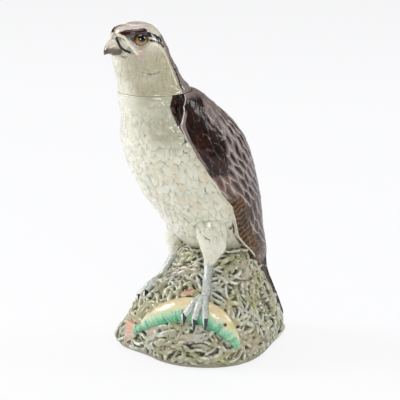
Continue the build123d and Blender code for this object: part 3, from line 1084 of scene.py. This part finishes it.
    def eye(self, side: Side) -> None:
        """Makes one eye, with its iris and pupil as rings round the ways it looks.

        Args:
            side: Side of the head that it is on.
        """
        x, y, z = self.eye_centre
        bpy.ops.object.select_all(action="DESELECT")
        bpy.ops.mesh.primitive_uv_sphere_add(
            segments=48, ring_count=32, radius=self.eye_radius * MM,
            location=(side.value * x * MM, y * MM, z * MM))
        eye = bpy.context.active_object
        eye.name = eye.data.name = side.name.lower() + "_eye"
        bpy.ops.object.transform_apply(location=True, rotation=True, scale=True)
        away = read_points(eye.data) - np.array([side.value * x, y, z])
        away /= np.linalg.norm(away, axis=1)[:, None]
        angles = []
        for aim in (self.eye_look, self.pupil_look):
            look = np.array(aim) * (side.value, 1, 1)
            angles.append(np.degrees(np.arccos(np.clip(away @ look / np.linalg.norm(look), -1, 1))))
        lit = rise(0.62, 0.2, away[:, 2])
        store_masks(eye.data, {
            "iris": rise(56, 50, angles[0]) * (0.15 + 0.85 * lit),
            "iris_dark": rise(38, 54, angles[0]) * rise(56, 50, angles[0]),
            "pupil": rise(33, 29, angles[1]),
        })
        finish_piece(eye, Body.HEAD, self.eye_glaze)


@dataclass
class Leg:
    """Shank and toes with their talons."""

    side: Side
    # Roots of the talons.
    talons: tuple[Point, ...]
    voxel: float = 0.3
    talon_length: float = 6.0
    ring_pitch: float = 2.3
    # Pale grey clay with the talons dipped in black. A darker grey is painted shade on the side away from
    # the key lamp and in the rings, and a paler grey is painted highlight on the side towards it, with pale
    # toe tips: the legs look cool and waxy and the talons hard.
    glaze: Glaze = Glaze(
        "glazed_leg_earthenware", "#c3c8c0",
        (
            Wash("furrow", "#7f867d", 0.5, 0.25, 1.5),
            Wash("pale", "#e6e9e4", 0.5, 0.2, 1.5),
            Wash("claw", "#151312", 0.3, 0.1, 1.0),
        ),
    )

    def build(self) -> None:
        """Makes the leg from its node.

        It gets faint rings round the shank and toes, and smooth talons.
        """
        name = self.side.name.lower() + "_leg"
        skin = Skin(name, name + "_casting", self.voxel, 2)
        points = skin.points
        rings = np.sin(points[:, 2] * TURN / self.ring_pitch + 2 * ripple(points, 4, 71))
        # aside points to the camera's right, away from the key lamp.
        aside = np.array([0.643, 0.766, 0.0])
        claw, near_talon = np.zeros(len(points)), np.zeros(len(points))
        for x, y, z in self.talons:
            gap, _ = stroke(points, [(x, y, z + 0.6), (x, y, z - self.talon_length)])
            claw = np.maximum(claw, rise(2.1, 1.7, gap) * rise(-0.9, -0.4, (points - (x, y, z)) @ aside))
            near_talon = np.maximum(near_talon, rise(2.4, 1.8, gap))
        skin.lift(0.06 * rings * (1 - near_talon) + 0.14 * ripple(points, 2.4, 72))
        sideways = skin.normals() @ aside
        skin.paint(
            # Painted shade: darker grey on the side away from the key lamp and in the grooves of the rings.
            furrow=(0.2 + 0.55 * rise(0.2, 1.0, sideways) + 0.12 * rise(0.0, -1.0, rings)
                    + 0.15 * ripple(points, 4, 73)),
            # Painted highlight on the side towards the key lamp, plus pale toe tips by the talons.
            pale=0.75 * rise(0.1, -0.8, sideways) + 0.2 * near_talon,
            claw=claw,
        )
        finish_piece(skin.piece, Body.DECANTER, self.glaze, (name,))


@dataclass
class Fish:
    """Fish that lies over the front of the nest."""

    voxel: float = 0.4
    length: float = 75.0
    scale_size: float = 1.8
    fin_centre: Point = (-0.3, -38.9, 29.8)
    eye_centre: Point = (41.4, -19.2, 26.6)
    gill_path: tuple[Point, ...] = (
        (37.0, -20.5, 33.6), (37.6, -21.5, 29.0), (36.6, -22.5, 24.5), (34.5, -23.5, 21.5))
    jaw_path: tuple[Point, ...] = ((43.2, -13.0, 14.5), (42.2, -16.0, 19.0))
    route: tuple[Point, ...] = (
        (-14.8, -39.8, 14.3), (-4.9, -39.0, 20.5), (5.3, -37.1, 27.3), (13.5, -33.9, 31.0),
        (20.1, -30.4, 32.9), (26.7, -26.5, 32.9), (32.8, -22.2, 30.1), (36.9, -18.7, 26.4),
        (40.2, -15.6, 21.4), (42.2, -12.5, 15.5), (43.1, -11.3, 11.2),
    )
    # Cream clay with green drawn along the sides in wet streaks and salmon on the fins, under a
    # clear and very smooth glaze, so the fish looks fresh and slippery against the dull nest.
    glaze: Glaze = Glaze(
        "glazed_fish_earthenware", "#e6dcb4",
        (
            Wash("back", "#e4d0a2", 0.5, 0.15, 2.0),
            Wash("green", "#9ed1ab", 0.5, 0.2, 1.6),
            Wash("deep", "#3fa678", 0.5, 0.25, 1.2),
            Wash("streak", "#166447", 0.4, 0.2, 0.8),
            Wash("fin", "#dcb096", 0.35, 0.15, 1.6),
            Wash("ray", "#c79682", 0.45, 0.2, 1.0),
            Wash("head_edge", "#d6cf8e", 0.4, 0.15, 1.5),
            Wash("eye", "#95492a", 0.45, 0.2, 0.6),
            Wash("pupil", "#2a1410", 0.25, 0.0, 1.0),
        ),
        roughness=0.18, coat=0.7, wave_size=2.0, wave_depth=0.08,
    )

    def build(self) -> None:
        """Makes the fish from its node.

        Scales run along it in rows, and rays fan out over its tail fin.
        """
        skin = Skin("fish", "fish_casting", self.voxel, 2)
        points = skin.points
        _, along = stroke(points, list(self.route))
        centre = self.on_route(along)
        above = (points - centre)[:, 2]
        back_fin = np.linalg.norm(points - np.array(self.fin_centre), axis=1)
        fin = np.maximum(rise(-14.6, -15.8, points[:, 0]), rise(3.0, 2.2, back_fin))
        head = rise(0.80, 0.83, along)
        side = rise(3.4, -0.6, above)
        rows = Plumage(overlap=1.5, fullness=0.6, disorder=0.2, seed=81).lay(
            above / self.scale_size, along * self.length / self.scale_size)
        rays = np.sin(np.arctan2(points[:, 2] - 14, -points[:, 0] - 12) * 22)
        scales = 0.12 * (rows["thick"] - 0.5) * (1 - head) + 0.05 * ripple(points, 2, 82)
        skin.lift(scales * (1 - fin) + 0.12 * rays * fin)
        gill, _ = stroke(points, list(self.gill_path))
        jaw, _ = stroke(points, list(self.jaw_path))
        eye = np.linalg.norm(points - np.array(self.eye_centre), axis=1)
        streak = ripple(np.stack([along * self.length, above * 0.22, above * 0], axis=1), 1.0, 83)
        skin.paint(
            back=rise(2.0, 5.0, above) * 0.8 * (1 - fin),
            green=side * (0.85 + 0.3 * streak) * (1 - fin),
            deep=(1 - fin) * np.maximum(
                rise(1.5, -3.5, above) * (0.8 + 0.3 * streak), 0.6 * side * rise(0.86, 0.97, along)),
            streak=(rise(0.15, 0.7, streak) * rise(2.8, 0.5, above) * 0.42 + rise(1.1, 0.4, gill) * 0.6
                    + rise(0.7, 0.3, jaw) * 0.5) * (1 - fin),
            fin=fin, ray=fin * rise(0.1, -0.9, rays) * 0.7,
            head_edge=head * rise(1.0, 3.5, above),
            eye=rise(1.5, 0.9, eye) * 0.9, pupil=rise(0.8, 0.3, eye),
        )
        finish_piece(skin.piece, Body.DECANTER, self.glaze, ("fish",))

    def on_route(self, along: Array) -> Array:
        """Finds points of the fish's middle line.

        Args:
            along: Shares of its length, from the tail fin to the mouth.

        Returns:
            The points, one a row.
        """
        corners = np.array(self.route)
        return places_on(corners, along * run_lengths(corners)[-1])


@dataclass(frozen=True)
class Twig:
    """One twig of the nest, pressed half into its side."""

    path: Array
    radius: float
    level: float
    tint: float


@dataclass
class Nest:
    """Hollow mound of twigs with dark gaps between them."""

    voxel: float = 0.58
    twigs: int = 330
    foot_twigs: int = 60
    foot_height: float = 7.0
    top_plug: tuple[Point, float] = ((0.0, 10.0, 61.4), 26.0)
    steps: tuple[int, int] = (14, 44)
    step: float = 1.3
    first_bend: float = 0.12
    bend_kept: float = 0.9
    bend_change: float = 0.06
    radii: tuple[float, float] = (0.5, 1.15)
    fine_step: float = 0.6
    hero_level: float = 0.9
    shortest: int = 5
    bare_clay: float = -0.9
    seed: int = 7
    # Radius, tint and path of each twig that stands out on the real nest.
    heroes: tuple[tuple[float, float, tuple[Point, ...]], ...] = (
        (2.0, 0.7, ((-19.0, -27.0, 36.0), (-13.6, -22.3, 40.3), (-6.0, -20.5, 44.5), (0.9, -18.9, 47.3),
                    (8.0, -15.8, 50.3), (13.7, -13.0, 52.1))),
        (1.5, 0.5, ((-17.0, -33.0, 29.5), (-11.7, -30.6, 33.9), (-7.5, -25.3, 39.9), (0.1, -22.0, 44.1),
                    (7.3, -21.2, 44.8))),
        (1.4, 0.4, ((1.0, -32.2, 34.2), (-0.8, -28.1, 38.4), (3.6, -24.1, 42.3), (6.2, -21.4, 44.8),
                    (8.3, -25.0, 41.2), (6.6, -29.2, 37.4))),
        (1.3, 0.4, ((7.3, -21.2, 44.8), (13.0, -21.4, 43.4), (17.5, -23.3, 40.0), (20.6, -23.3, 38.6))),
        (1.7, 0.3, ((-24.0, -33.0, 25.0), (-24.5, -27.0, 30.0), (-20.6, -26.1, 34.6), (-11.8, -24.4, 39.4))),
        (1.7, 0.35, ((-15.9, -36.5, 24.2), (-18.3, -31.7, 31.0), (-20.6, -26.1, 34.6))),
        (1.6, 0.95, ((-5.3, -17.6, 47.5), (-0.8, -13.8, 54.4), (4.8, -10.8, 61.2))),
        (1.4, 0.9, ((-8.9, -14.0, 50.2), (3.1, -13.2, 55.8), (9.0, -9.0, 60.0))),
        (1.5, 0.9, ((20.7, -5.3, 54.3), (21.9, -0.7, 57.7), (23.7, 7.3, 56.0), (25.4, 9.8, 51.7))),
        (1.2, 0.7, ((22.2, -8.5, 50.2), (27.3, -6.4, 45.9), (27.4, 2.2, 48.7), (25.4, 7.8, 51.7))),
        (1.1, 0.6, ((27.3, -6.4, 45.9), (31.9, -11.1, 37.4))),
        (1.4, 0.8, ((32.6, -11.7, 36.2), (34.8, -5.5, 35.0), (34.8, -0.3, 33.5))),
        (1.2, 0.3, ((31.1, -8.5, 39.7), (32.2, -1.0, 38.0), (32.2, 5.8, 35.6))),
        (1.3, 0.4, ((17.8, 26.3, 41.3), (14.6, 37.2, 32.2), (17.6, 38.6, 23.9), (21.9, 36.0, 16.1))),
        (1.6, 0.6, ((38.8, -4.9, 25.8), (38.2, 8.4, 16.8), (36.8, 14.8, 8.9))),
    )
    hole_centre: Point = (26.5, 29.5, 14.0)
    # Root and tip of the small fins of the fish that lie on the nest.
    fins: tuple[tuple[Point, Point], ...] = (
        ((12.2, -26.6, 38.2), (16.0, -23.4, 41.4)), ((3.4, -38.9, 19.0), (0.4, -39.6, 15.0)),
    )
    # Stone, olive and lime stains that run into each other from twig to twig, with a pale painted
    # highlight on the twigs' tops and dark painted shade in the gaps and the hole, where the olive is also
    # stronger: the twigs look pale, tangled and deep.
    glaze: Glaze = Glaze(
        "glazed_nest_earthenware", "#aaa68b",
        (
            Wash("stone", "#b59f88", 0.5, 0.2, 3.0),
            Wash("grey", "#c2c4bb", 0.5, 0.2, 3.0),
            Wash("olive", "#98956c", 0.5, 0.25, 2.5),
            Wash("lime", "#b1b366", 0.5, 0.25, 2.0),
            Wash("pale", "#e0e3d2", 0.5, 0.25, 1.5),
            Wash("gap", "#2c271c", 0.5, 0.25, 1.4),
            Wash("foot", "#a79d8a", 0.4, 0.15, 3.0),
            Wash("fin", "#d2a78f", 0.45, 0.3, 1.2),
        ),
        roughness=0.24, coat=0.5, coat_roughness=0.08, wave_size=1.8, wave_depth=0.12,
    )

    def build(self) -> None:
        """Makes the nest from its node.

        Twigs are pressed into the mound between the main ones that the node has. Dark painted shade
        is laid where the skin lies lower than what is round it, and a pale painted highlight where it
        lies higher.
        """
        skin = Skin("nest_mound", "nest_casting", self.voxel, 2, plugs=(self.top_plug,))
        points = skin.points
        tree = KDTree(len(points))
        for i, point in enumerate(points):
            tree.insert(point, i)
        tree.balance()
        normals = skin.normals()
        height, owner_tint = self.pressed(
            len(points), self.stray_twigs(points, normals, tree) + self.hero_twigs(), tree)
        broad = np.stack([skin.blurred(points[:, i], 60) for i in range(3)], axis=1)
        bulge = ((points - broad) * normals).sum(axis=1)
        main_twig = rise(0.25, 0.8, bulge)
        foot = rise(0.2, 1.8, points[:, 2])
        under = rise(-0.75, -0.4, normals[:, 2])
        hole = rise(3.6, 2.2, np.linalg.norm(points - np.array(self.hole_centre), axis=1))
        fin = np.zeros(len(points))
        for ends in self.fins:
            gap, share = stroke(points, list(ends))
            fin = np.maximum(fin, rise(1.6, 0.4, gap - 1.3 * share))
        height = (skin.blurred(height * (1 - 0.85 * main_twig), 1) * (1 - fin) + 0.9 * fin
                  + 0.2 * ripple(points, 1.6, 90) - 2.4 * hole)
        skin.lift(height * foot * under * 0.9)
        skin.points[:, 2] = np.maximum(skin.points[:, 2], np.minimum(points[:, 2], 0.0))
        skin.write()
        height = height + bulge
        pit = skin.blurred(height, 12) - height
        skin.paint(
            stone=0.3 + 0.5 * ripple(points, 9, 92),
            grey=0.25 + 0.6 * ripple(points, 13, 95) + 0.2 * rise(0.5, 0.1, owner_tint),
            # Olive: random tone, stronger in the hollows as painted shade.
            olive=0.3 + 0.6 * ripple(points, 8, 96) + 0.3 * rise(-0.1, 0.4, pit),
            lime=rise(0.6, 0.9, owner_tint) * 0.4 + 0.35 * ripple(points, 7, 93),
            # Painted highlight: paler where the skin stands higher than what is round it.
            pale=rise(-0.1, -0.55, pit) * (0.8 + 0.25 * ripple(points, 5, 94)),
            # Painted shade: dark where the skin lies lower than what is round it, and in the hole.
            gap=np.maximum(rise(0.08, 0.5, pit) * (0.85 + 0.35 * ripple(points, 6, 97)), hole) * foot,
            foot=rise(1.6, 0.7, points[:, 2]) * 0.8,
            fin=0.85 * fin,
        )
        finish_piece(skin.piece, Body.DECANTER, self.glaze, ("nest_mound",))

    def pressed(self, size: int, twigs: list[Twig], tree: KDTree) -> tuple[Array, Array]:
        """Presses twigs into the mound, thin at their ends and weaving up and down.

        Args:
            size: Number of points of the skin.
            twigs: Twigs to press, of which the highest shows.
            tree: Finder of the nearest point.

        Returns:
            The height at each point, and the tint of the twig that shows there.
        """
        height, owner_tint = np.full(size, self.bare_clay), np.full(size, 0.4)
        for twig in twigs:
            last = len(twig.path) - 1
            for i, place in enumerate(twig.path):
                thin = min(1.0, 0.3 + 0.12 * min(i, last - i))
                level = (twig.level + 0.4 * math.sin(0.35 * i + TURN * twig.tint)) * thin - 0.6
                reach = twig.radius * thin * 1.2
                for _, index, gap in tree.find_range(place, reach):
                    cross = gap / reach
                    top = level + twig.radius * thin * math.sqrt(max(0.0, 1 - cross * cross))
                    if top > height[index]:
                        height[index], owner_tint[index] = top, twig.tint
        return height, owner_tint

    def hero_twigs(self) -> list[Twig]:
        """Lays the twigs that stand out on the real nest, along their own paths.

        Returns:
            The twigs.
        """
        laid = []
        for radius, tint, corners in self.heroes:
            path = np.array(corners)
            fine = places_on(path, np.arange(0, run_lengths(path)[-1], self.fine_step))
            laid.append(Twig(fine, radius * 0.85, self.hero_level, tint))
        return laid

    def stray_twigs(self, points: Array, normals: Array, tree: KDTree) -> list[Twig]:
        """Twigs that wander over the mound.

        Args:
            points: Points of the skin.
            normals: Their directions.
            tree: Finder of the nearest point.

        Returns:
            The twigs.
        """
        dice = np.random.default_rng(self.seed)
        outside = np.nonzero((normals[:, 2] > -0.7) & (points[:, 2] > 1))[0]
        low = outside[points[outside, 2] < self.foot_height]
        laid = []
        for i in range(self.twigs + self.foot_twigs):
            picked = dice.choice(outside if i < self.twigs else low)
            start, heading = points[picked], dice.normal(size=3)
            if i >= self.twigs:
                heading = np.cross((0, 0, 1), normals[picked]) + 0.3 * heading
            bend = dice.normal(0, self.first_bend)
            path = [start]
            for _ in range(int(dice.uniform(*self.steps))):
                _, index, _ = tree.find(path[-1])
                normal = normals[index]
                heading = heading - normal * (heading @ normal)
                heading = heading / (np.linalg.norm(heading) + 1e-9)
                aside = np.cross(normal, heading)
                bend = bend * self.bend_kept + dice.normal(0, self.bend_change)
                heading = heading + aside * bend
                spot, _, _ = tree.find(path[-1] + heading * self.step)
                spot = np.array(spot)
                if spot[2] < 0.6 or np.linalg.norm(spot - path[-1]) < 0.2:
                    break
                path.append(spot)
            if len(path) < self.shortest:
                continue
            route = np.array(path)
            fine = np.repeat(route, 2, axis=0)[:-1]
            fine[1::2] = (route[1:] + route[:-1]) / 2
            laid.append(Twig(fine, dice.uniform(*self.radii), dice.uniform(0.0, 1.0), dice.uniform()))
        return laid


@dataclass
class Cork:
    """Cork on the spigot of the head."""

    grain: float = 1.8
    pore_pitch: float = 2.6

    def build(self) -> None:
        """Gives the cork node its finish.

        The node is shown as it is, since a cork is a plain, smooth ring.
        """
        node = frame["nodes"]["cork_sleeve"]
        # Natural cork, punched from bark and left bare: two tans in soft grains and dark, sunken
        # pores, so it looks dry and light beside the glaze.
        made = bpy.data.materials.new("natural_cork")
        tree = empty_tree(made)
        place = add_node(tree, "ShaderNodeTexCoord").outputs["Object"]
        fine = add_node(tree, "ShaderNodeTexNoise", {
            "Vector": place, "Scale": 1 / (self.grain * MM), "Detail": 6.0})
        pores = add_node(tree, "ShaderNodeTexVoronoi", {
            "Vector": place, "Scale": 1 / (self.pore_pitch * MM)})
        pit = add_node(tree, "ShaderNodeMapRange", {
            "Value": pores.outputs["Distance"], "From Min": 0.12, "From Max": 0.3,
            "To Min": 1.0, "To Max": 0.0})
        tone = blended(tree, fine.outputs["Fac"], linear("#8d6538"), linear("#d0a673"))
        colour = blended(tree, pit.outputs["Result"], tone, linear("#4a2e18"))
        bump = add_node(tree, "ShaderNodeBump", {
            "Height": pit.outputs["Result"], "Strength": 0.6, "Distance": 0.1 * MM}, invert=True)
        shader = add_node(tree, "ShaderNodeBsdfPrincipled", {
            "Base Color": colour, "Roughness": 0.85, "Normal": bump.outputs["Normal"]})
        add_node(tree, "ShaderNodeOutputMaterial", {"Surface": shader.outputs["BSDF"]})
        node.data.materials.clear()
        node.data.materials.append(made)
        log.info("cork_sleeve: natural cork")


@dataclass
class Studio:
    """Pale floor, soft lamps and the camera."""

    target: Point = (0.0, 0.0, 95.0)
    azimuth: float = 50.0
    elevation: float = 14.0
    distance: float = 1050.0
    scale: float = 1.72
    centre: tuple[float, float] = (204.0, 189.0)
    frame_width: float = 400.0
    floor_size: float = 12.0
    floor_glow: float = 0.84
    floor_gap: float = 0.0002

    def build(self) -> None:
        """Sets up the stage.

        Lamps are given as place in metres, width in metres and watts.
        """
        scene = bpy.context.scene
        scene.view_settings.view_transform = "Standard"
        self.camera()
        self.floor()
        self.world()
        self.lamp("key_lamp", (-1.2, -1.1, 0.95), 0.8, 19.0)
        self.lamp("fill_lamp", (1.3, -0.7, 0.7), 0.5, 6.0)
        self.lamp("top_lamp", (0.0, 0.1, 1.6), 1.0, 8.0)
        self.lamp("back_lamp", (0.9, 1.3, 0.9), 0.5, 6.0)

    def direction(self) -> Array:
        """Finds where the camera hangs.

        Returns:
            Direction from the target to the camera.
        """
        turn, tilt = math.radians(self.azimuth), math.radians(self.elevation)
        return np.array([math.sin(turn) * math.cos(tilt), -math.cos(turn) * math.cos(tilt), math.sin(tilt)])

    def camera(self) -> None:
        """Places the camera at the angle of the picture.

        The scale is in pixels to the millimetre at the target, and the centre is where the target
        shows in the frame, in pixels.
        """
        data = bpy.data.cameras.new("camera")
        half = self.frame_width / 2
        data.lens = data.sensor_width / 2 * self.scale * self.distance / half
        data.shift_x = (half - self.centre[0]) / self.frame_width
        data.shift_y = (self.centre[1] - half) / self.frame_width
        data.clip_end = 50
        camera = bpy.data.objects.new("camera", data)
        bpy.context.scene.collection.objects.link(camera)
        camera.location = (np.array(self.target) + self.direction() * self.distance) * MM
        camera.rotation_euler = (math.radians(90 - self.elevation), 0, math.radians(self.azimuth))
        bpy.context.scene.camera = camera

    def floor(self) -> None:
        """Lays the paper floor that keeps the shadow of the object.

        It lies a hair below the object, so that the two never share a plane.
        """
        bpy.ops.object.select_all(action="DESELECT")
        bpy.ops.mesh.primitive_plane_add(size=self.floor_size, location=(0, 0, -self.floor_gap))
        floor = bpy.context.active_object
        floor.name = "floor"
        # Matt white paper. To the eye it glows a little, as an overlit sweep does, so that it runs
        # into the white behind it and only the soft shadow stays.
        made = bpy.data.materials.new("white_paper")
        tree = empty_tree(made)
        paper = add_node(tree, "ShaderNodeBsdfDiffuse", {"Color": linear("#f4f5f7")})
        glow = add_node(tree, "ShaderNodeEmission", {"Color": linear("#fcfcfd"), "Strength": 1.0})
        path = add_node(tree, "ShaderNodeLightPath")
        share = add_node(tree, "ShaderNodeMath", {
            0: path.outputs["Is Camera Ray"], 1: self.floor_glow}, operation="MULTIPLY")
        both = add_node(tree, "ShaderNodeMixShader", {
            0: share.outputs["Value"], 1: paper.outputs["BSDF"], 2: glow.outputs["Emission"]})
        add_node(tree, "ShaderNodeOutputMaterial", {"Surface": both.outputs["Shader"]})
        floor.data.materials.append(made)

    def world(self) -> None:
        """Sets the surroundings, which are white to the eye but light the object more softly.

        Glossy rays see them dimmed, so that the lamps' glints stand out in the glaze.
        """
        world = bpy.data.worlds.new("studio")
        bpy.context.scene.world = world
        tree = empty_tree(world)
        path = add_node(tree, "ShaderNodeLightPath")
        dimmed = add_node(tree, "ShaderNodeMapRange", {
            "Value": path.outputs["Is Glossy Ray"], "To Min": 0.44, "To Max": 0.1})
        level = add_node(tree, "ShaderNodeMath", {
            0: path.outputs["Is Camera Ray"], 1: dimmed.outputs["Result"]}, operation="MAXIMUM")
        sky = add_node(tree, "ShaderNodeBackground", {
            "Color": linear("#f9fafc"), "Strength": level.outputs["Value"]})
        add_node(tree, "ShaderNodeOutputWorld", {"Surface": sky.outputs["Background"]})

    def lamp(self, name: str, place: Point, size: float, power: float) -> None:
        """Adds a soft square lamp that points at the object.

        Args:
            name: Name of the lamp.
            place: Where it hangs, in metres.
            size: Width in metres.
            power: Watts.
        """
        data = bpy.data.lights.new(name, "AREA")
        data.size, data.energy = size, power
        lamp = bpy.data.objects.new(name, data)
        bpy.context.scene.collection.objects.link(lamp)
        lamp.location = place
        aim = np.array(self.target) * MM - np.array(place)
        flat = math.hypot(aim[0], aim[1])
        lamp.rotation_euler = (math.atan2(flat, -aim[2]), 0, math.atan2(aim[0], -aim[1]) + math.pi)


def main() -> None:
    """Builds the decanter piece by piece.
    """
    logging.basicConfig(level=logging.INFO, format="%(message)s")
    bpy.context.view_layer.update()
    Torso().build()
    for side in Side:
        Wing(side).build()
    Tail().build()
    Head().build()
    Leg(Side.LEFT, ((24.2, -35.3, 31.0), (29.2, -32.0, 28.8), (34.8, -28.3, 29.3))).build()
    Leg(Side.RIGHT, ((-26.5, -29.0, 28.5), (-22.0, -31.5, 30.0), (-15.5, -31.5, 33.9))).build()
    Fish().build()
    Nest().build()
    Cork().build()
    Studio().build()


if __name__ == "__main__":
    main()
